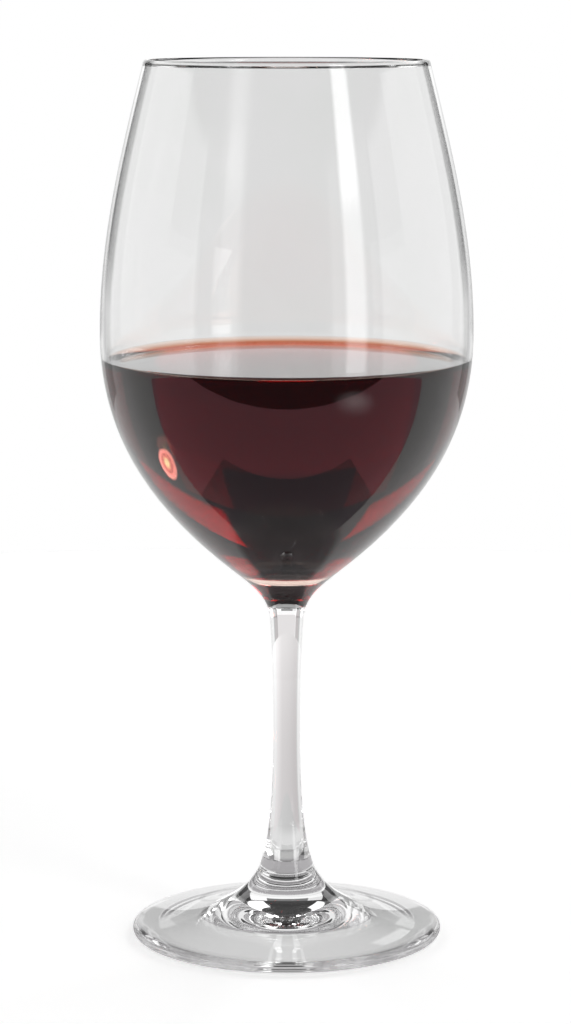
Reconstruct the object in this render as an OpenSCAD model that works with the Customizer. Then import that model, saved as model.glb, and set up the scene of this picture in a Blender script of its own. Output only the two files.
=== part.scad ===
// Wine glass: a blown bowl, a drawn stem and a spun foot, fused end to end, holding red wine.
// Millimetres, +Z up. The origin is on the table, under the middle of the foot.
// Every piece is turned about the Z axis from one outer line, which runs from the edge of
// the foot to the rim. Angles of that line are in degrees from level unless a comment says otherwise.

/* [Foot] */
// Diameter of the foot
foot_d = 80; // [64:0.5:100]
// Thickness of the foot at its rounded edge
foot_edge_t = 2.4; // [1.6:0.1:4]
// Slope of the foot's upper face just inside the edge
foot_slope = 6; // [2:0.5:12]
// Width of the flat ring that touches the table
foot_ring_w = 5; // [2:0.5:10]
// Depth of the hollow under the foot
foot_hollow = 5; // [1:0.1:6]
// Slope of the hollow where it meets the flat ring
hollow_slope = 12; // [4:0.5:18]
// Diameter where the foot's cone turns up into the stem
ankle_d = 15.9; // [13:0.1:20]
// Height of that turn above the table
ankle_h = 15.6; // [13:0.1:17]
// Slope of the glass at that turn
ankle_slope = 59; // [45:1:70]
// Height of the seam where the stem is fused to the foot
foot_h = 20; // [18:0.5:26]

/* [Stem] */
// Length of the stem from seam to seam
stem_l = 66; // [40:1:110]
// Diameter at the waist, the thinnest place
waist_d = 6.9; // [5:0.1:9]
// Height of the waist above the foot's seam
waist_h = 32.7; // [20:0.5:36]
// Diameter of the neck, where the stem starts to swell into the bowl
neck_d = 8.7; // [7:0.1:12]
// Distance of the neck below the bowl's seam
neck_drop = 3.1; // [1:0.1:8]
// Slope of the glass at the neck
neck_slope = 86; // [80:1:90]

/* [Bowl] */
// Height of the bowl from the stem's seam to the top of the rim
bowl_h = 139; // [110:1:180]
// Outer diameter at the belly, the widest place
belly_d = 94.7; // [80:0.1:120]
// Height of the belly above the stem's seam
belly_h = 70; // [55:0.5:90]
// Outer diameter at the rim
rim_d = 72; // [55:0.5:80]
// Inward lean of the wall at the rim, from upright
rim_lean = 14.5; // [0:0.5:25]
// Diameter of the throat, where the flare above the stem turns into the bowl
throat_d = 30; // [22:0.5:40]
// Height of the throat above the stem's seam
throat_h = 10.3; // [8:0.1:14]
// Slope of the glass at the throat
throat_slope = 39; // [30:1:50]
// Thickness of the fire-polished bead round the rim
rim_bead = 1.6; // [1.2:0.1:2.2]
// Distance from the top of the rim down to where the bead starts
bead_drop = 1.7; // [1.4:0.1:3]
// Thickness of the wall below the bead
lip_wall = 0.9; // [0.7:0.1:1.1]
// Thickness of the wall at the belly
belly_wall = 1.4; // [0.8:0.1:3]
// Thickness of the wall at the throat
throat_wall = 4.8; // [2:0.1:6]
// Thickness of glass between the seam and the lowest point of the hollow
floor_t = 10.2; // [6:0.1:12]

/* [Wine] */
// Depth of the wine in the middle of the bowl
wine_depth = 52.3; // [25:0.1:70]
// Height that the wine climbs at the wall
meniscus_h = 1.7; // [0.4:0.1:2.5]
// Distance from the wall over which the wine climbs
meniscus_w = 4; // [1:0.1:6]
// Slope of the wine's surface where it meets the wall
meniscus_slope = 75; // [60:1:85]

/* [Hidden] */

glass_tint = [0.86, 0.89, 0.89, 0.4];
wine_tint = [0.36, 0.03, 0.07];

// Straight pieces in each curve, and flats round a turned piece
curve_steps = 20;
rim_steps = 12;
turn_steps = 120;

// Length of a curve's tangents as a share of its chord: usual, full and tight
usual = 0.34;
full = 0.4;
tight = 0.2;

// Length of the tangents in the bowl's floor as a share of the way to the corner where they would meet
floor_share = 0.87;
heel_share = 0.7;

// Heights above the table
stem_z = foot_h;
bowl_z = foot_h + stem_l;
rim_z = bowl_z + bowl_h;
throat_z = bowl_z + throat_h;
belly_z = bowl_z + belly_h;
floor_z = bowl_z + floor_t;
bead_z = rim_z - bead_drop;
wine_z = floor_z + wine_depth;
contact_z = wine_z + meniscus_h;

// Slope of a curve that arrives upright, and of one that goes towards the axis
upright = 90;
function inwards(slope) = 180 - slope;

// Unit direction of a slope, and the same turned left, which points into the bowl
function along(slope) = [cos(slope), sin(slope)];
function left_of(v) = [-v[1], v[0]] / norm(v);

// Four control points of a curve from p, leaving at slope a, to q, arriving at slope b
function controls(p, a, q, b, p_reach = usual, q_reach = usual) = [
    p,
    p + along(a) * norm(q - p) * p_reach,
    q - along(b) * norm(q - p) * q_reach,
    q
];

function towards(p, q, share) = p + (q - p) * share;

function point_on(c, t) =
    c[0] * pow(1 - t, 3) + 3 * c[1] * pow(1 - t, 2) * t + 3 * c[2] * (1 - t) * t * t + c[3] * pow(t, 3);

function heading_on(c, t) =
    (c[1] - c[0]) * pow(1 - t, 2) + 2 * (c[2] - c[1]) * (1 - t) * t + (c[3] - c[2]) * t * t;

// Points of a curve after its first one
function trace(c) = [for (i = [1 : curve_steps]) point_on(c, i / curve_steps)];

// Points inside a curve by a wall that goes from wall_a to wall_b, quickly at first, after the first one
function trace_inside(c, wall_a, wall_b) = [
    for (i = [1 : curve_steps])
        let (t = i / curve_steps)
            point_on(c, t) + left_of(heading_on(c, t)) * (wall_b + (wall_a - wall_b) * pow(1 - t, 2))
];

function arc(centre, radius, from, to, steps) = [
    for (i = [0 : steps]) centre + radius * along(from + (to - from) * i / steps)
];

function reversed(points) = [for (i = [len(points) - 1 : -1 : 0]) points[i]];
function between(points, low, high) = [for (p = points) if (p[1] > low && p[1] < high) p];
function radius_at(points, z) = lookup(z, [for (p = points) [p[1], p[0]]]);

// Part of a line between two heights, ends included
function stretch(points, low, high) = concat(
    [[radius_at(points, low), low]],
    between(points, low, high),
    [[radius_at(points, high), high]]
);

// The places that the outer line passes through, as [radius, height]
edge_r = foot_edge_t / 2;
edge_centre = [foot_d / 2 - edge_r, edge_r];
rim_r = rim_bead / 2;
rim_centre = [rim_d / 2 - rim_r, rim_z - rim_r];

foot_edge = edge_centre + edge_r * along(90 - foot_slope);
ankle = [ankle_d / 2, ankle_h];
waist = [waist_d / 2, stem_z + waist_h];
neck = [neck_d / 2, bowl_z - neck_drop];
throat = [throat_d / 2, throat_z];
belly = [belly_d / 2, belly_z];
rim = rim_centre + rim_r * along(rim_lean);

// The curves between those places
foot_cone = controls(foot_edge, inwards(foot_slope), ankle, inwards(ankle_slope));
stem_foot = controls(ankle, inwards(ankle_slope), waist, upright, tight);
stem_shank = controls(waist, upright, neck, neck_slope);
bowl_flare = controls(neck, neck_slope, throat, throat_slope, usual, full);
bowl_lower = controls(throat, throat_slope, belly, upright, usual, full);
bowl_upper = controls(belly, upright, rim, upright + rim_lean);

outer_line = concat(
    [foot_edge], trace(foot_cone), trace(stem_foot), trace(stem_shank),
    trace(bowl_flare), trace(bowl_lower), trace(bowl_upper)
);

// The hollow of the bowl, from its lowest point on the axis up to the bead
hollow_heel = throat + left_of(along(throat_slope)) * throat_wall;
hollow_corner = hollow_heel - along(throat_slope) * (hollow_heel[1] - floor_z) / sin(throat_slope);
hollow_floor = [
    [0, floor_z],
    towards([0, floor_z], hollow_corner, floor_share),
    towards(hollow_heel, hollow_corner, heel_share),
    hollow_heel
];
hollow_wall = concat(
    trace(hollow_floor),
    trace_inside(bowl_lower, throat_wall, belly_wall),
    trace_inside(bowl_upper, belly_wall, lip_wall)
);

// The bead swells inwards only, so the outer line runs straight on past it
lip = [radius_at(hollow_wall, bead_z), bead_z];
bead_side = rim_centre - rim_r * along(rim_lean);
bead_swell = controls(lip, upright + rim_lean, bead_side, upright + rim_lean);
inner_line = concat([[0, floor_z]], between(hollow_wall, floor_z, bead_z), [lip], trace(bead_swell));

// The surface of the wine, from the wall down the climb at its edge to the middle
wine_edge = [radius_at(inner_line, contact_z), contact_z];
wine_flat = [radius_at(inner_line, wine_z) - meniscus_w, wine_z];
wine_climb = controls(wine_edge, -inwards(meniscus_slope), wine_flat, inwards(0), usual, full);

module turned() {
    rotate_extrude($fn = turn_steps) children();
}

module bowl() {
    rim_round = arc(rim_centre, rim_r, rim_lean, 180 + rim_lean, rim_steps);
    wall_top = rim_round[0][1];
    color(glass_tint) turned() polygon(concat(
        [[0, bowl_z]],
        stretch(outer_line, bowl_z, wall_top),
        [for (i = [1 : rim_steps - 1]) rim_round[i]],
        reversed(inner_line)
    ));
}

module stem() {
    color(glass_tint) turned() polygon(concat(
        [[0, stem_z]],
        stretch(outer_line, stem_z, bowl_z),
        [[0, bowl_z]]
    ));
}

module foot() {
    ring_inside = foot_d / 2 - edge_r - foot_ring_w;
    hollow = controls([0, foot_hollow], 0, [ring_inside, 0], -hollow_slope);
    edge_round = arc(edge_centre, edge_r, -90, 90 - foot_slope, rim_steps);
    color(glass_tint) turned() polygon(concat(
        [[0, foot_hollow]],
        trace(hollow),
        [for (i = [0 : rim_steps - 1]) edge_round[i]],
        stretch(outer_line, foot_edge[1], stem_z),
        [[0, stem_z]]
    ));
}

module red_wine() {
    color(wine_tint) turned() polygon(concat(
        [[0, floor_z]],
        between(inner_line, floor_z, contact_z),
        [wine_edge],
        trace(wine_climb),
        [[0, wine_z]]
    ));
}

bowl();
stem();
foot();
red_wine();
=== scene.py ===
# %% [markdown]
# # A stemmed glass of red wine
#
# A wine glass is a solid of revolution: a blown bowl, a drawn stem and a pressed foot, fused end
# to end while the glass is hot. The frame below holds those pieces, and the wine, at their real
# size. This lesson redraws each one as a fine mesh, because glass bends light by the slope of its
# surface and shows every flat of a coarse one. The frame tells us where each piece starts and ends.

# %% Load the frame
import math
import bmesh
import bpy
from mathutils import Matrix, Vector
from mathutils.geometry import interpolate_bezier


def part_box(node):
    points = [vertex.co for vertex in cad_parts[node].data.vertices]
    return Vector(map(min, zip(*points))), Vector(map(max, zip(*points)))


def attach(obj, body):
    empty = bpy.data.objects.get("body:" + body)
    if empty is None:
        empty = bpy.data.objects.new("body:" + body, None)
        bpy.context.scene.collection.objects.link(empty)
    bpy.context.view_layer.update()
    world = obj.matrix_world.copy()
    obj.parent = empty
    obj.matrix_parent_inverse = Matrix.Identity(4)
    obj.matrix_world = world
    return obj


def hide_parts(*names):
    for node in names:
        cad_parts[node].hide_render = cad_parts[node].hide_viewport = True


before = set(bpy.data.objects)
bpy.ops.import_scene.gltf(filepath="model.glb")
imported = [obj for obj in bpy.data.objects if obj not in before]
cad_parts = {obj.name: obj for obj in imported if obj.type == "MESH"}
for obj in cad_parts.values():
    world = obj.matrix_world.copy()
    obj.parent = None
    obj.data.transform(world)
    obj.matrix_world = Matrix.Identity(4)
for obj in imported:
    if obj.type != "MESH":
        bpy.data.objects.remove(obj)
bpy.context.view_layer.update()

MM = 0.001
scene = bpy.context.scene
for node in sorted(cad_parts):
    low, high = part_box(node)
    print(f"{node}: {(high - low).x / MM:.1f} mm wide, from {low.z / MM:.1f} to {high.z / MM:.1f} mm high")

# %% [markdown]
# ## The camera
#
# The rim, the wine and the foot are three level circles, and each looks like an ellipse of its own
# roundness. Together they give the camera's height, tilt and distance. A long lens from less than a
# metre keeps the upright lines nearly parallel, as a product photograph does.

# %% Place the camera
IMAGE_HEIGHT = 1024
FOCAL_PIXELS = 3284
CAMERA_PLACE = Vector((-0.3, -830, 241)) * MM
CAMERA_DIP = 8.95
CLIP_START = 10 * MM

lens = bpy.data.cameras.new("camera")
lens.lens = lens.sensor_width * FOCAL_PIXELS / IMAGE_HEIGHT
lens.clip_start = CLIP_START
camera = bpy.data.objects.new("camera", lens)
camera.location = CAMERA_PLACE
camera.rotation_euler = (math.radians(90 - CAMERA_DIP), 0, 0)
scene.collection.objects.link(camera)
scene.camera = camera
print(f"camera: {lens.lens:.1f} mm lens, {CAMERA_PLACE.length:.2f} m from the foot")

# %% [markdown]
# ## Drawing with curves
#
# The side of the glass is one flowing line. We could place many points by eye, but then every bump
# would show in the glass. A few named places joined by Bezier curves stay smooth: each curve is
# told where it starts and ends and how steeply it leaves and arrives. Heights and radii are in
# millimetres until a piece is made.

# %% Helpers that draw a line
CURVE_POINTS = 33
ARC_POINTS = 13
USUAL_PULL, TIGHT_PULL, FULL_PULL = 0.34, 0.2, 0.4


def heading(degrees):
    """A step of one unit along a line that climbs at this angle, as (radius, height)."""
    angle = math.radians(degrees)
    return Vector((math.cos(angle), math.sin(angle)))


def curve(start, leave, end, arrive, start_pull=USUAL_PULL, end_pull=USUAL_PULL):
    """Points of a curve between two places. A pull is a handle's length as a share of the chord."""
    chord = (end - start).length
    first = start + heading(leave) * chord * start_pull
    last = end - heading(arrive) * chord * end_pull
    return interpolate_bezier(start, first, last, end, CURVE_POINTS)


def arc(centre, radius, first, last):
    """Points of a round edge between two angles."""
    turns = [first + (last - first) * i / (ARC_POINTS - 1) for i in range(ARC_POINTS)]
    return [centre + heading(turn) * radius for turn in turns]


def at_height(line, height):
    """The place where a rising line passes a height."""
    for low, high in zip(line, line[1:]):
        if low.y <= height < high.y:
            return low.lerp(high, (height - low.y) / (high.y - low.y))


def stretch(line, low, high):
    """The part of a rising line between two heights, ends included."""
    middle = [place for place in line if low < place.y < high]
    return [at_height(line, low)] + middle + [at_height(line, high)]


def inset(line, depths):
    """A line moved to its left, which is into the bowl, by a depth for each point."""
    moved = []
    for i, depth in enumerate(depths):
        ahead = line[min(i + 1, len(line) - 1)] - line[max(i - 1, 0)]
        moved.append(line[i] + Vector((-ahead.y, ahead.x)).normalized() * depth)
    return moved


print(f"a curve has {CURVE_POINTS} points and a round edge {ARC_POINTS}")

# %% [markdown]
# ## Turning a line into a solid
#
# A potter's wheel and a glass mould both make round things by turning one profile. The spin operator
# does the same: it sweeps the line about the Z axis and merges the last step with the first. The
# points on the axis come out many times over, so the doubles are merged before the normals are
# recalculated. Soft shading is kept off the few corners that are truly sharp.

# %% Helper that turns a piece
TURN_STEPS = 240
SHARP_CORNER = math.radians(35)
DOUBLES = 0.001 * MM
MILLILITRES = 1_000_000


def turn(name, line):
    """Spins a line of (radius, height) places about the Z axis into a closed piece."""
    shape = bmesh.new()
    points = [shape.verts.new((place.x * MM, 0, place.y * MM)) for place in line]
    edges = [shape.edges.new(pair) for pair in zip(points, points[1:])]
    bmesh.ops.spin(
        shape, geom=points + edges, cent=(0, 0, 0), axis=(0, 0, 1),
        angle=math.tau, steps=TURN_STEPS, use_merge=True,
    )
    bmesh.ops.remove_doubles(shape, verts=shape.verts, dist=DOUBLES)
    bmesh.ops.recalc_face_normals(shape, faces=shape.faces)
    volume = shape.calc_volume() * MILLILITRES
    open_edges = sum(not edge.is_manifold for edge in shape.edges)
    mesh = bpy.data.meshes.new(name)
    shape.to_mesh(mesh)
    shape.free()
    mesh.shade_smooth()
    mesh.set_sharp_from_angle(angle=SHARP_CORNER)
    piece = bpy.data.objects.new(name, mesh)
    scene.collection.objects.link(piece)
    print(f"{name}: {len(mesh.polygons)} faces, {volume:.1f} ml, {open_edges} open edges")
    return piece


def stand_in(piece, node):
    """Puts a finished piece in the place of a frame node."""
    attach(piece, "root")
    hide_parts(node)


print(f"a piece is turned in {TURN_STEPS} steps")

# %% [markdown]
# ## The outer line
#
# One line runs up the whole glass, from the edge of the foot over the ankle, the thin waist of the
# stem, the neck and the throat to the belly and the rim. The frame gives the widest place of each
# piece and the heights of the two seams. The other places are measured from those.

# %% Draw the outer line
def widest(node):
    """The place of a node that lies furthest from the axis, in millimetres."""
    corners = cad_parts[node].data.vertices
    far = max(corners, key=lambda corner: corner.co.xy.length)
    return Vector((far.co.xy.length, far.co.z)) / MM


foot_r = widest("foot").x
foot_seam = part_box("foot")[1].z / MM
bowl_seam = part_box("bowl")[0].z / MM
rim_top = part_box("bowl")[1].z / MM
belly = widest("bowl")

FOOT_EDGE, FOOT_SLOPE = 2.4, 6
ANKLE_SLOPE, NECK_SLOPE, THROAT_SLOPE = 59, 86, 39
RIM_R, RIM_BEAD, RIM_LEAN = 36, 1.6, 14.5
ANKLE_R, ANKLE_HEIGHT = 7.95, 15.6
WAIST_R, WAIST_RISE = 3.45, 32.7
NECK_R, NECK_DROP = 4.35, 3.1
THROAT_R, THROAT_RISE = 15, 10.3
UPRIGHT, HALF_TURN = 90, 180

edge_centre = Vector((foot_r - FOOT_EDGE / 2, FOOT_EDGE / 2))
foot_top = edge_centre + heading(UPRIGHT - FOOT_SLOPE) * FOOT_EDGE / 2
ankle = Vector((ANKLE_R, ANKLE_HEIGHT))
waist = Vector((WAIST_R, foot_seam + WAIST_RISE))
neck = Vector((NECK_R, bowl_seam - NECK_DROP))
throat = Vector((THROAT_R, bowl_seam + THROAT_RISE))
rim_centre = Vector((RIM_R - RIM_BEAD / 2, rim_top - RIM_BEAD / 2))
rim_side = rim_centre + heading(RIM_LEAN) * RIM_BEAD / 2

foot_cone = curve(foot_top, HALF_TURN - FOOT_SLOPE, ankle, HALF_TURN - ANKLE_SLOPE)
lower_stem = curve(ankle, HALF_TURN - ANKLE_SLOPE, waist, UPRIGHT, start_pull=TIGHT_PULL)
upper_stem = curve(waist, UPRIGHT, neck, NECK_SLOPE)
flare = curve(neck, NECK_SLOPE, throat, THROAT_SLOPE, end_pull=FULL_PULL)
lower_wall = curve(throat, THROAT_SLOPE, belly, UPRIGHT, end_pull=FULL_PULL)
upper_wall = curve(belly, UPRIGHT, rim_side, UPRIGHT + RIM_LEAN)

outer_line = foot_cone
for part in (lower_stem, upper_stem, flare, lower_wall, upper_wall):
    outer_line = outer_line + part[1:]
print(f"outer line: {len(outer_line)} points, belly {2 * belly.x:.1f} mm wide at {belly.y:.0f} mm")

# %% [markdown]
# ## The foot
#
# The foot is pressed from a gather of hot glass and spun flat. It stands on a narrow ring, its edge is
# fire polished to a half round, and underneath it is hollowed like a shallow dish. Light that enters
# the cone meets that hollow at a low angle and is mirrored by it, which makes the rings and the dark
# lens that we see at the bottom of the stem. So the hidden hollow is modelled with care.

# %% Turn the foot
RING_WIDTH, HOLLOW_DEPTH, HOLLOW_SLOPE = 5, 5, 12

hollow_top = Vector((0, HOLLOW_DEPTH))
ring_inside = Vector((edge_centre.x - RING_WIDTH, 0))
foot_line = curve(hollow_top, 0, ring_inside, -HOLLOW_SLOPE)
foot_line += arc(edge_centre, FOOT_EDGE / 2, -UPRIGHT, UPRIGHT - FOOT_SLOPE)[:-1]
foot_line += stretch(outer_line, foot_top.y, foot_seam)
foot_line += [Vector((0, foot_seam))]

foot = turn("pressed_foot", foot_line)
stand_in(foot, "foot")

# %% [markdown]
# ## The stem
#
# The stem is drawn out of the bowl's own hot glass, so it is thinnest at the waist and swells at both
# ends. Two glass pieces that only touch would leave a film of air that mirrors light. The ends of the
# stem reach a little way into the bowl and the foot instead, and the seams vanish as they do in
# fused glass.

# %% Turn the stem
FUSED = 0.15

stem_line = [Vector((0, foot_seam - FUSED))]
stem_line += stretch(outer_line, foot_seam - FUSED, bowl_seam + FUSED)
stem_line += [Vector((0, bowl_seam + FUSED))]

stem = turn("drawn_stem", stem_line)
stand_in(stem, "stem")

# %% [markdown]
# ## The bowl
#
# A blown bowl has no single wall thickness: glass pools at the bottom, thins quickly up the side and
# ends in a rim that the flame has rounded to a small bead. A Solidify modifier gives an even wall, so the
# inner line is drawn: a rounded floor, then the outer line moved inwards by a wall that thins
# out, and last the swelling of the bead, which draws the two dark lines of the rim.

# %% Turn the bowl
THROAT_WALL, BELLY_WALL, LIP_WALL = 4.8, 1.4, 0.9
BEAD_DROP = 1.7
FLOOR_PULL, HEEL_PULL = 0.87, 0.7

floor_place = Vector((0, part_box("red_wine")[0].z / MM))
heel = throat + heading(THROAT_SLOPE + UPRIGHT) * THROAT_WALL
climb = (heel.y - floor_place.y) / math.sin(math.radians(THROAT_SLOPE))
corner = heel - heading(THROAT_SLOPE) * climb
bowl_floor = interpolate_bezier(
    floor_place, floor_place.lerp(corner, FLOOR_PULL), heel.lerp(corner, HEEL_PULL), heel, CURVE_POINTS
)


def thinning(thick, thin):
    """Wall depths along a curve, which fall quickly at first."""
    shares = [i / (CURVE_POINTS - 1) for i in range(CURVE_POINTS)]
    return [thin + (thick - thin) * (1 - share) ** 2 for share in shares]


hollow_wall = bowl_floor + inset(lower_wall, thinning(THROAT_WALL, BELLY_WALL))[1:]
hollow_wall = hollow_wall + inset(upper_wall, thinning(BELLY_WALL, LIP_WALL))[1:]

lip = at_height(hollow_wall, rim_top - BEAD_DROP)
bead_side = rim_centre - heading(RIM_LEAN) * RIM_BEAD / 2
inner_line = [place for place in hollow_wall if place.y < lip.y]
inner_line += curve(lip, UPRIGHT + RIM_LEAN, bead_side, UPRIGHT + RIM_LEAN)

bowl_line = [Vector((0, bowl_seam))]
bowl_line += [at_height(outer_line, bowl_seam)]
bowl_line += [place for place in outer_line if place.y > bowl_seam]
bowl_line += arc(rim_centre, RIM_BEAD / 2, RIM_LEAN, HALF_TURN + RIM_LEAN)[1:-1]
bowl_line += reversed(inner_line)

bowl = turn("blown_bowl", bowl_line)
stand_in(bowl, "bowl")

# %% [markdown]
# ## The wine
#
# Where wine meets glass there is no air between them. If the two surfaces shared one place, the renderer
# could not tell which comes first, and a gap would look like a silver lining. So the wine soaks a hair's
# breadth into the wall: light then passes glass and wine in the right order and bends as it should. At
# the top the wine climbs the wall in a small curve, the meniscus, which catches a bright line.

# %% Turn the wine
SOAK = 0.15
MENISCUS_WIDTH, MENISCUS_HEIGHT, MENISCUS_SLOPE = 4, 1.7, 75

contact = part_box("red_wine")[1].z / MM
level = contact - MENISCUS_HEIGHT
soaked_line = inset(inner_line, [-SOAK] * len(inner_line))
soaked_line[0] = floor_place - Vector((0, SOAK))
wine_edge = at_height(inner_line, contact)
wine_flat = Vector((at_height(inner_line, level).x - MENISCUS_WIDTH, level))

wine_line = [place for place in soaked_line if place.y < contact]
wine_line += [at_height(soaked_line, contact)]
wine_line += curve(wine_edge, MENISCUS_SLOPE - HALF_TURN, wine_flat, HALF_TURN, end_pull=FULL_PULL)
wine_line += [Vector((0, level))]

wine = turn("poured_wine", wine_line)
stand_in(wine, "red_wine")

# %% [markdown]
# ## A finish that two materials share
#
# Glass and wine both look perfect from afar, yet neither is. Blown glass keeps faint waves from the
# mould and a trace of haze from wiping, and a liquid's skin is never quite flat. One node group makes
# both effects from noise on Object coordinates, so a pattern keeps its real size. It gives out a tint, a
# roughness and a height, and each material sets its own amounts.

# %% Build the shared finish
def number(group, name, value, direction="INPUT"):
    """Adds a number socket to a node group."""
    socket = group.interface.new_socket(name, in_out=direction, socket_type="NodeSocketFloat")
    if direction == "INPUT":
        socket.default_value = value


SMEAR_DETAIL, WAVE_DETAIL = 4, 1
SMEAR_STARTS, SMEAR_FULL = 0.45, 0.75

finish_group = bpy.data.node_groups.new("hand_polish", "ShaderNodeTree")
number(finish_group, "Smear Scale", 45)
number(finish_group, "Haze", 0.02)
number(finish_group, "Wave Scale", 70)
finish_group.interface.new_socket("Clean Tint", in_out="INPUT", socket_type="NodeSocketColor")
finish_group.interface.new_socket("Smeared Tint", in_out="INPUT", socket_type="NodeSocketColor")
finish_group.interface.new_socket("Tint", in_out="OUTPUT", socket_type="NodeSocketColor")
number(finish_group, "Roughness", 0, "OUTPUT")
number(finish_group, "Waves", 0, "OUTPUT")

add = finish_group.nodes.new
link = finish_group.links.new
given = add("NodeGroupInput")
result = add("NodeGroupOutput")
place = add("ShaderNodeTexCoord")
smear = add("ShaderNodeTexNoise")
smear.inputs["Detail"].default_value = SMEAR_DETAIL
link(place.outputs["Object"], smear.inputs["Vector"])
link(given.outputs["Smear Scale"], smear.inputs["Scale"])

mask = add("ShaderNodeMapRange")
mask.interpolation_type = "SMOOTHSTEP"
mask.inputs["From Min"].default_value = SMEAR_STARTS
mask.inputs["From Max"].default_value = SMEAR_FULL
link(smear.outputs["Fac"], mask.inputs["Value"])

haze = add("ShaderNodeMath")
haze.operation = "MULTIPLY"
link(mask.outputs["Result"], haze.inputs[0])
link(given.outputs["Haze"], haze.inputs[1])
link(haze.outputs["Value"], result.inputs["Roughness"])

tint = add("ShaderNodeMix")
tint.data_type = "RGBA"
link(mask.outputs["Result"], tint.inputs["Factor"])
link(given.outputs["Clean Tint"], tint.inputs["A"])
link(given.outputs["Smeared Tint"], tint.inputs["B"])
link(tint.outputs["Result"], result.inputs["Tint"])

waves = add("ShaderNodeTexNoise")
waves.inputs["Detail"].default_value = WAVE_DETAIL
link(place.outputs["Object"], waves.inputs["Vector"])
link(given.outputs["Wave Scale"], waves.inputs["Scale"])
link(waves.outputs["Fac"], result.inputs["Waves"])
print(f"{finish_group.name}: {len(finish_group.nodes)} nodes")

# %% [markdown]
# ## Clear glass
#
# Soda-lime glass bends light by an index of 1.52 and takes almost none of it away. The Principled shader
# with full Transmission does both the bending and the mirroring, so no painted highlight is needed. The
# shared finish only breaks the perfection: waves a few thousandths of a millimetre high.

# %% Make the glass
def polished(name, index, clean, smeared, haze_amount, wave_scale, wave_height):
    """A clear material whose finish comes from the shared group."""
    material = bpy.data.materials.new(name)
    material.use_nodes = True
    nodes, links = material.node_tree.nodes, material.node_tree.links
    shader = nodes["Principled BSDF"]
    shader.inputs["IOR"].default_value = index
    shader.inputs["Transmission Weight"].default_value = 1
    finish = nodes.new("ShaderNodeGroup")
    finish.node_tree = finish_group
    finish.inputs["Haze"].default_value = haze_amount
    finish.inputs["Wave Scale"].default_value = wave_scale
    finish.inputs["Clean Tint"].default_value = (*clean, 1)
    finish.inputs["Smeared Tint"].default_value = (*smeared, 1)
    bump = nodes.new("ShaderNodeBump")
    bump.inputs["Distance"].default_value = wave_height * MM
    links.new(finish.outputs["Waves"], bump.inputs["Height"])
    links.new(finish.outputs["Tint"], shader.inputs["Base Color"])
    links.new(finish.outputs["Roughness"], shader.inputs["Roughness"])
    links.new(bump.outputs["Normal"], shader.inputs["Normal"])
    print(f"{name}: index {index}, waves {wave_height * 1000:.0f} thousandths of a millimetre")
    return material


GLASS = {
    "index": 1.52,
    "clean": (1, 1, 1),
    "smeared": (0.985, 0.99, 0.985),
    "haze_amount": 0.02,
    "wave_scale": 70,
    "wave_height": 0.004,
}
clear_glass = polished("clear_glass", **GLASS)
for piece in (bowl, stem, foot):
    piece.data.materials.append(clear_glass)

# %% [markdown]
# ## Glass that is wet
#
# A dry wall mirrors about a twenty-fifth of the light at each face. Where wine lies against it, the step
# from glass to liquid is so small that almost nothing is mirrored, but the shader compares every face
# with air. Left alone, it would veil the wine in grey. So the faces below the wine's edge get a second
# glass, which mirrors only at a glancing angle.

# %% Wet the inside of the bowl
GLANCING_ONLY = (0, 0, 0, 1)

wetted_glass = polished("wetted_glass", **GLASS)
wetted_glass.node_tree.nodes["Principled BSDF"].inputs["Specular Tint"].default_value = GLANCING_ONLY
bowl.data.materials.append(wetted_glass)
wet_slot = bowl.data.materials.find(wetted_glass.name)
wet_faces = [face for face in bowl.data.polygons if face.normal.z > 0 and face.center.z < contact * MM]
for face in wet_faces:
    face.material_index = wet_slot
print(f"wetted glass: {len(wet_faces)} faces")

# %% [markdown]
# ## Red wine
#
# Wine is coloured all through: a thin edge is orange or ruby and the deep middle almost black. Paint on
# its skin could not do that, so a Volume Absorption node takes light away with every millimetre of depth,
# blue first, then green, and red least. The skin itself stays clear, with an index a little above water's.

# %% Make the wine
ABSORBED = Vector((50, 720, 1100))

red_wine = polished(
    "red_wine", index=1.345, clean=(1, 1, 1), smeared=(1, 0.985, 0.985),
    haze_amount=0.01, wave_scale=40, wave_height=0.004,
)
red_wine.node_tree.nodes["Principled BSDF"].inputs["Specular Tint"].default_value = GLANCING_ONLY
depth = red_wine.node_tree.nodes.new("ShaderNodeVolumeAbsorption")
depth.inputs["Density"].default_value = max(ABSORBED)
depth.inputs["Color"].default_value = (*(1 - take / max(ABSORBED) for take in ABSORBED), 1)
red_wine.node_tree.links.new(
    depth.outputs["Volume"], red_wine.node_tree.nodes["Material Output"].inputs["Volume"]
)
wine.data.materials.append(red_wine)
print(f"wine: a centimetre lets through {math.exp(-ABSORBED.x / 100):.0%} of the red light")

# %% [markdown]
# ## The studio
#
# Clear glass has no look of its own: it shows the room. A photographer lights it with a pale sweep of
# paper behind, white walls at the sides and a dark room above, and leaves dark gaps between them that
# draw the edges. Real walls and lamps would do, but they would hide the glass from other sides. Soft
# panels painted on the sky light it alike from everywhere. Each panel is a window of directions with a
# soft edge, so one node group serves them all.

# %% Build the soft panel
panel_group = bpy.data.node_groups.new("soft_panel", "ShaderNodeTree")
for name in ("Azimuth", "Elevation", "Left", "Right", "Low", "High", "Edge"):
    number(panel_group, name, 0)
number(panel_group, "Light", 0, "OUTPUT")

add = panel_group.nodes.new
link = panel_group.links.new
given = add("NodeGroupInput")
result = add("NodeGroupOutput")


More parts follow.
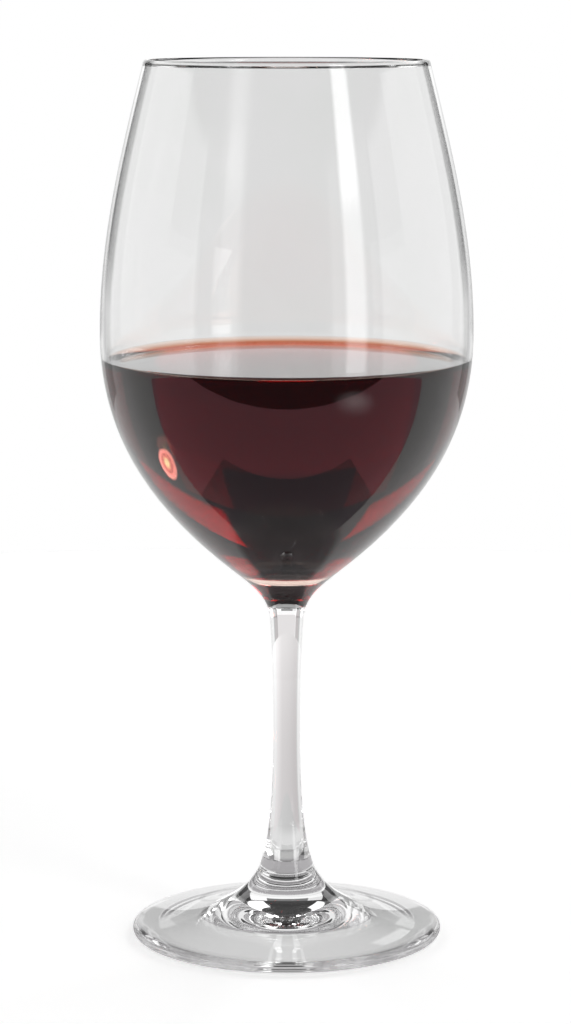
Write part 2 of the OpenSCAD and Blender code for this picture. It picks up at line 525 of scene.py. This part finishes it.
def past(direction, border):
    """A mask that rises softly where a direction passes a border."""
    upper = add("ShaderNodeMath")
    upper.operation = "ADD"
    link(given.outputs[border], upper.inputs[0])
    link(given.outputs["Edge"], upper.inputs[1])
    rise = add("ShaderNodeMapRange")
    rise.interpolation_type = "SMOOTHSTEP"
    link(given.outputs[direction], rise.inputs["Value"])
    link(given.outputs[border], rise.inputs["From Min"])
    link(upper.outputs["Value"], rise.inputs["From Max"])
    return rise.outputs["Result"]


def combine(operation, first, second):
    """One mask from two."""
    both = add("ShaderNodeMath")
    both.operation = operation
    link(first, both.inputs[0])
    link(second, both.inputs[1])
    return both.outputs["Value"]


across = combine("SUBTRACT", past("Azimuth", "Left"), past("Azimuth", "Right"))
upward = combine("SUBTRACT", past("Elevation", "Low"), past("Elevation", "High"))
link(combine("MULTIPLY", across, upward), result.inputs["Light"])
print(f"{panel_group.name}: {len(panel_group.nodes)} nodes")

# %% [markdown]
# ## The panels
#
# Azimuth 0 is straight behind the glass and grows to the right, and elevation 0 is level with it. The
# sweep is what we see through the glass. The gaps beside it draw the dark bands down the sides of the
# wine, and the dim middle of its upper part becomes the dark shape low in the wine.

# %% List the panels
DARK_ROOM = 0.05
NOWHERE = 400
PANELS = {
    # name: (left, right, low, high, edge, light), all but the light in degrees
    "paper sweep": (-24, 24, -NOWHERE, 10, 1, 0.75),
    "upper half of the sweep": (-24, 24, 1, 10, 1, 0.25),
    "sweep above, left": (-24, -13, 10, 19, 0.5, 0.8),
    "sweep above, middle": (-13, 11.5, 10, 19, 0.5, 0.15),
    "sweep above, right": (11.5, 24, 10, 19, 0.5, 1.1),
    "beside the sweep, left": (-42, -24, -NOWHERE, -4, 2, 0.5),
    "beside the sweep, right": (24, 39, -NOWHERE, -4, 2, 0.5),
    "left wall": (-122, -42, -NOWHERE, 19, 2, 0.9),
    "right wall": (39, 118, -NOWHERE, 19, 2, 0.9),
    "left fill": (-154, -122, -NOWHERE, 19, 4, 0.35),
    "right fill": (118, 150, -NOWHERE, 19, 4, 0.35),
}
print(f"{len(PANELS)} panels for every ray")

# %% [markdown]
# ## Panels that are shaded
#
# A lamp that suits one part of a glass often spoils another, so a photographer shades it with black card.
# Here the way that a ray has come decides. A strip light in front on the right and a faint one on the left
# are mirrored by the bowl as two long pale lines, and never seen straight through it. Two softboxes glow
# red through the lower wine and stay out of the stem, and two lamps overhead shine down through the wine
# into the neck. The stem bends light so strongly that it gets a pale surround of its own. Whatever is
# seen straight through the glass gets a pale front, so it stays clear when the camera walks round it.

# %% List the shaded panels
STRIPS = {
    "strip light": (128, 141, -NOWHERE, 44, 4, 2.1),
    "top of the strip light": (128, 141, 14, 44, 4, 1.5),
    "faint strip": (-151, -139, -NOWHERE, 22, 3, 0.45),
}
SOFTBOXES = {
    "left softbox": (-52, -22, 21, 36, 2, 4.0),
    "right softbox": (14, 48, 20, 36, 2, 5.0),
}
LAMPS_OVERHEAD = {
    "left lamp": (-70, -44, 46, 62, 3, 8),
    "right lamp": (45, 71, 52, 66, 3, 11),
}
STEM_PANELS = {
    "beyond the sweep, left": (-60, -24, -4, 40, 4, 0.5),
    "beyond the sweep, right": (24, 60, -4, 40, 4, 0.6),
    "above the sweep": (-24, 24, 19, 40, 3, 0.35),
}
FRONT_PANELS = {
    "front, left half": (-NOWHERE, -122, -NOWHERE, 15, 4, 0.6),
    "front, right half": (118, NOWHERE, -NOWHERE, 15, 4, 0.6),
}
for panels in (STRIPS, SOFTBOXES, LAMPS_OVERHEAD, STEM_PANELS, FRONT_PANELS):
    print("shaded:", ", ".join(panels))

# %% [markdown]
# ## Wiring the studio
#
# The Light Path node tells how a ray has come. A mirrored ray has bounced off a face at least once, and a
# straight one has only passed through. A deep ray has crossed more than two faces, so it has been in the
# bowl, and a shallow one came through the stem or the foot. Rays from the camera see plain white: that
# makes the background without any more light on the glass.

# %% Light the world
BOUNCED = 0.5
BOWL_FACES = 2.5
SHADED = 0.65

world = bpy.data.worlds.new("studio")
world.use_nodes = True
scene.world = world
tree = world.node_tree
tree.nodes.clear()
add = tree.nodes.new
link = tree.links.new


def math_node(operation, first, second=None, third=None):
    """A Math node whose inputs are numbers or other nodes' outputs."""
    node = add("ShaderNodeMath")
    node.operation = operation
    for socket, value in zip(node.inputs, (first, second, third)):
        if isinstance(value, bpy.types.NodeSocket):
            link(value, socket)
        elif value is not None:
            socket.default_value = value
    return node.outputs["Value"]


direction = add("ShaderNodeSeparateXYZ")
link(add("ShaderNodeTexCoord").outputs["Generated"], direction.inputs["Vector"])
azimuth = math_node("DEGREES", math_node("ARCTAN2", direction.outputs["X"], direction.outputs["Y"]))
elevation = math_node("DEGREES", math_node("ARCSINE", direction.outputs["Z"]))
rays = add("ShaderNodeLightPath")


def hang(panels):
    """The summed light of some panels."""
    total = 0.0
    for *borders, light in panels.values():
        panel = add("ShaderNodeGroup")
        panel.node_tree = panel_group
        link(azimuth, panel.inputs["Azimuth"])
        link(elevation, panel.inputs["Elevation"])
        for name, value in zip(("Left", "Right", "Low", "High", "Edge"), borders):
            panel.inputs[name].default_value = value
        total = math_node("MULTIPLY_ADD", panel.outputs["Light"], light, total)
    return total


mirrored = math_node("GREATER_THAN", rays.outputs["Glossy Depth"], BOUNCED)
straight = math_node("GREATER_THAN", rays.outputs["Is Transmission Ray"], mirrored)
deep = math_node("GREATER_THAN", rays.outputs["Transmission Depth"], BOWL_FACES)
shallow = math_node("GREATER_THAN", straight, deep)
shade = math_node("MULTIPLY_ADD", math_node("GREATER_THAN", mirrored, deep), SHADED, shallow)

studio_light = math_node("ADD", hang(PANELS), DARK_ROOM)
for panels, seen_by in (
    (STRIPS, math_node("SUBTRACT", 1.0, straight)),
    (SOFTBOXES, math_node("SUBTRACT", 1.0, shade)),
    (LAMPS_OVERHEAD, deep),
    (STEM_PANELS, shallow),
    (FRONT_PANELS, straight),
):
    studio_light = math_node("MULTIPLY_ADD", hang(panels), seen_by, studio_light)

studio = add("ShaderNodeBackground")
link(studio_light, studio.inputs["Color"])
white = add("ShaderNodeBackground")
white.inputs["Color"].default_value = (1, 1, 1, 1)
choice = add("ShaderNodeMixShader")
link(rays.outputs["Is Camera Ray"], choice.inputs["Fac"])
link(studio.outputs["Background"], choice.inputs[1])
link(white.outputs["Background"], choice.inputs[2])
link(choice.outputs["Shader"], add("ShaderNodeOutputWorld").inputs["Surface"])
print(f"studio: {len(tree.nodes)} nodes")

# %% [markdown]
# ## The table
#
# The table is a plain, pale disc, and the glass throws a soft shadow on it. Its top lies a hair below the
# foot's ring, because two faces in one place would turn black. A disc is enough: past its edge the white
# of the background carries on.

# %% Lay the table
TABLE_RADIUS = 0.6
TABLE_DROP = 0.3 * MM
TABLE_SIDES = 96

shape = bmesh.new()
bmesh.ops.create_circle(shape, cap_ends=True, segments=TABLE_SIDES, radius=TABLE_RADIUS)
bmesh.ops.translate(shape, verts=shape.verts, vec=(0, 0, -TABLE_DROP))
table_mesh = bpy.data.meshes.new("table")
shape.to_mesh(table_mesh)
shape.free()
table = bpy.data.objects.new("table", table_mesh)
scene.collection.objects.link(table)
print(f"table: {2 * TABLE_RADIUS:.1f} m across")

# %% [markdown]
# ## Building blocks for the table's material
#
# The table needs three looks, one for each kind of ray, and each is mixed from a few masks and colours.
# Small helpers keep those mixes short. A mask is measured on Object coordinates, in metres from the
# middle of the foot, so it lies still on the table wherever the camera goes.

# %% Helpers that mix colours and masks
table_top = bpy.data.materials.new("table_top")
table_top.use_nodes = True
table_mesh.materials.append(table_top)
tree = table_top.node_tree
add = tree.nodes.new
link = tree.links.new
spot = add("ShaderNodeTexCoord").outputs["Object"]
on_table = add("ShaderNodeSeparateXYZ")
link(spot, on_table.inputs["Vector"])
rays = add("ShaderNodeLightPath")


def grey(level):
    """A neutral colour."""
    return (level, level, level, 1)


def feed(value, socket):
    """Gives a socket a value, which is a plain one or another node's output."""
    if isinstance(value, bpy.types.NodeSocket):
        link(value, socket)
    else:
        socket.default_value = value


def mixed(share, first, second, blend="MIX"):
    """A colour made from two."""
    node = add("ShaderNodeMix")
    node.data_type = "RGBA"
    node.blend_type = blend
    feed(share, node.inputs["Factor"])
    feed(first, node.inputs["A"])
    feed(second, node.inputs["B"])
    return node.outputs["Result"]


def chosen(share, first, second):
    """A shader mixed from two."""
    node = add("ShaderNodeMixShader")
    link(share, node.inputs["Fac"])
    link(first, node.inputs[1])
    link(second, node.inputs[2])
    return node.outputs["Shader"]


def summed(first, second):
    """A shader that adds the light of two."""
    node = add("ShaderNodeAddShader")
    link(first, node.inputs[0])
    link(second, node.inputs[1])
    return node.outputs["Shader"]


def glow(colour, strength=1.0):
    """An Emission shader."""
    node = add("ShaderNodeEmission")
    feed(colour, node.inputs["Color"])
    feed(strength, node.inputs["Strength"])
    return node.outputs["Emission"]


def near(centre, inner, outer):
    """A mask that falls from 1 to 0 between two distances from a place on the table."""
    gap = add("ShaderNodeVectorMath")
    gap.operation = "DISTANCE"
    link(spot, gap.inputs[0])
    gap.inputs[1].default_value = centre
    fall = add("ShaderNodeMapRange")
    fall.interpolation_type = "SMOOTHSTEP"
    link(gap.outputs["Value"], fall.inputs["Value"])
    for name, value in (("From Min", inner), ("From Max", outer), ("To Min", 1), ("To Max", 0)):
        fall.inputs[name].default_value = value
    return fall.outputs["Result"]


MIDDLE = (0, 0, 0)
FOOT_PATCH, FOOT_PATCH_EDGE = 0.05, 0.07

# The patch under the foot: painted shade in the mirror, and a painted light level through the glass
under_foot = near(MIDDLE, FOOT_PATCH, FOOT_PATCH_EDGE)
print(f"{table_top.name}: {len(tree.nodes)} nodes so far")

# %% [markdown]
# ## The table in the mirror
#
# The table carries a painted reflection that gives the bowl form: a bright table behind, a warm front
# round a grey middle, and painted shade past the front edge. A painted pool of light on the right and a
# small painted warm lamp on the left make its two highlights. The camera would find all that busy, so only
# mirrored rays see it. Rays that are mirrored inside the glass see a neutral front instead, or the clear
# bowl would look pink. Under the foot an even grey is painted shade.

# %% Colour what is mirrored
# A painted reflection: colours that the table glows with for mirrored rays only
BRIGHT_BACK = (1, 1, 1, 1)
WARM_FRONT = (0.95, 0.43, 0.5, 1)
GREY_MIDDLE = (0.36, 0.33, 0.37, 1)
SHADE_PAST_EDGE = (0.12, 0.1, 0.11, 1)
NEUTRAL_FRONT = (0.5, 0.49, 0.49, 1)
# Painted shade under the foot, seen in the mirror
MIRRORED_FOOT_SHADE = (0.42, 0.41, 0.42, 1)
MIDDLE_SIDE, MIDDLE_FRONT, FRONT_EDGE = 0.11, -0.1, -0.3
# A painted pool of light and a painted lamp, glows on the table that the bowl shows as highlights
POOL_PLACE, POOL_RADIUS, POOL_LIGHT = (0.24, -0.265, 0), 0.1, 1.2
LAMP_PLACE = (-0.184, 0.04, 0)
LAMP_CORE, LAMP_BODY, LAMP_RING = (3, 6, 2.5, 1), (8, 1.6, 1.2, 1), (10, 3, 2.4, 1)
CORE_FADE, BODY_FADE = (0.004, 0.016), (0.016, 0.026)
RING_HOLE_FADE, RING_FADE = (0.018, 0.024), (0.028, 0.034)

aside = math_node("GREATER_THAN", math_node("ABSOLUTE", on_table.outputs["X"]), MIDDLE_SIDE)
before = math_node("LESS_THAN", on_table.outputs["Y"], MIDDLE_FRONT)
in_front = math_node("LESS_THAN", on_table.outputs["Y"], 0.0)
past_edge = math_node("LESS_THAN", on_table.outputs["Y"], FRONT_EDGE)
inside_glass = math_node("GREATER_THAN", rays.outputs["Transmission Depth"], BOUNCED)

front = mixed(math_node("MAXIMUM", aside, before), GREY_MIDDLE, WARM_FRONT)
outside_look = mixed(past_edge, mixed(in_front, BRIGHT_BACK, front), SHADE_PAST_EDGE)
inside_look = mixed(in_front, BRIGHT_BACK, NEUTRAL_FRONT)
mirror_colour = mixed(inside_glass, outside_look, inside_look)
mirror_colour = mixed(under_foot, mirror_colour, MIRRORED_FOOT_SHADE)

lamp_core = near(LAMP_PLACE, *CORE_FADE)
lamp_body = near(LAMP_PLACE, *BODY_FADE)
lamp_ring = math_node("SUBTRACT", near(LAMP_PLACE, *RING_FADE), near(LAMP_PLACE, *RING_HOLE_FADE))
pool = math_node("MULTIPLY", near(POOL_PLACE, 0, POOL_RADIUS), POOL_LIGHT)
mirror_image = summed(glow(mirror_colour), glow(grey(1), pool))
for mask, colour in ((lamp_core, LAMP_CORE), (lamp_body, LAMP_BODY), (lamp_ring, LAMP_RING)):
    mirror_image = summed(mirror_image, glow(colour, mask))
print(f"mirrored table: {len(tree.nodes)} nodes so far")

# %% [markdown]
# ## The table through the glass
#
# A stem is a strong lens: its few millimetres show the whole table from left to right. So a painted light
# level for each bearing, which is the angle from straight behind, becomes the shading across the stem.
# The far table is painted brighter than the near one, which shades the stem from top to bottom. Under the
# foot the table has one even painted level of its own.

# %% Shade what shows through
# Painted light levels that the table glows with for rays seen through the glass
NEAR_LEVEL, FAR_LEVEL, UNDER_FOOT_PAINTED_LEVEL = 0.61, 0.82, 0.76
NEAR_RADIUS = 0.1
WIDEST_BEARING = 60
BEARING_LEVELS = {
    -60: 1.3, -45: 1.3, -37: 0.9, -26: 0.88, -8: 0.97, 0: 1, 13: 1.04, 28: 1.24, 46: 1.4,
}

bearing = math_node("DEGREES", math_node("ARCTAN2", on_table.outputs["X"], on_table.outputs["Y"]))
share = add("ShaderNodeMapRange")
link(bearing, share.inputs["Value"])
share.inputs["From Min"].default_value = -WIDEST_BEARING
share.inputs["From Max"].default_value = WIDEST_BEARING
levels = add("ShaderNodeValToRGB")
link(share.outputs["Result"], levels.inputs["Fac"])
stops = levels.color_ramp.elements
while len(stops) < len(BEARING_LEVELS):
    stops.new(0)
for stop, (degrees, level) in zip(stops, BEARING_LEVELS.items()):
    stop.position = (degrees + WIDEST_BEARING) / (2 * WIDEST_BEARING)
    stop.color = grey(level)

by_distance = mixed(near(MIDDLE, NEAR_RADIUS, TABLE_RADIUS), grey(FAR_LEVEL), grey(NEAR_LEVEL))
by_bearing = mixed(1.0, by_distance, levels.outputs["Color"], blend="MULTIPLY")
seen_through = mixed(under_foot, by_bearing, grey(UNDER_FOOT_PAINTED_LEVEL))
print(f"table through the glass: {len(stops)} bearings")

# %% [markdown]
# ## Joining the three looks
#
# The camera sees a pale, lit table with its shadow, lifted to white by a little light of its own. Straight
# and mirrored rays see the two pictures made above. Every other ray, such as one that carries light from
# the table up to the glass, sees the pale surface alone.

# %% Finish the table
PALE, DULL, LIFT = 0.8, 0.6, 0.7

lit = tree.nodes["Principled BSDF"]
lit.inputs["Base Color"].default_value = grey(PALE)
lit.inputs["Roughness"].default_value = DULL
mirrored = math_node("GREATER_THAN", rays.outputs["Glossy Depth"], BOUNCED)

lifted = summed(lit.outputs["BSDF"], glow(grey(LIFT)))
look = chosen(rays.outputs["Is Camera Ray"], lit.outputs["BSDF"], lifted)
look = chosen(rays.outputs["Is Transmission Ray"], look, glow(seen_through))
look = chosen(mirrored, look, mirror_image)
link(look, tree.nodes["Material Output"].inputs["Surface"])
print(f"table: {len(tree.nodes)} nodes")

# %% [markdown]
# ## Last settings
#
# Light crosses up to eight faces before it leaves the bowl, and bounces many times inside the foot, so
# the renderer may follow it further than usual. Then the lesson ends.

# %% Finish
BOUNCES = 48

scene.view_settings.view_transform = "Standard"
scene.cycles.max_bounces = BOUNCES
scene.cycles.transmission_bounces = BOUNCES
scene.cycles.glossy_bounces = BOUNCES
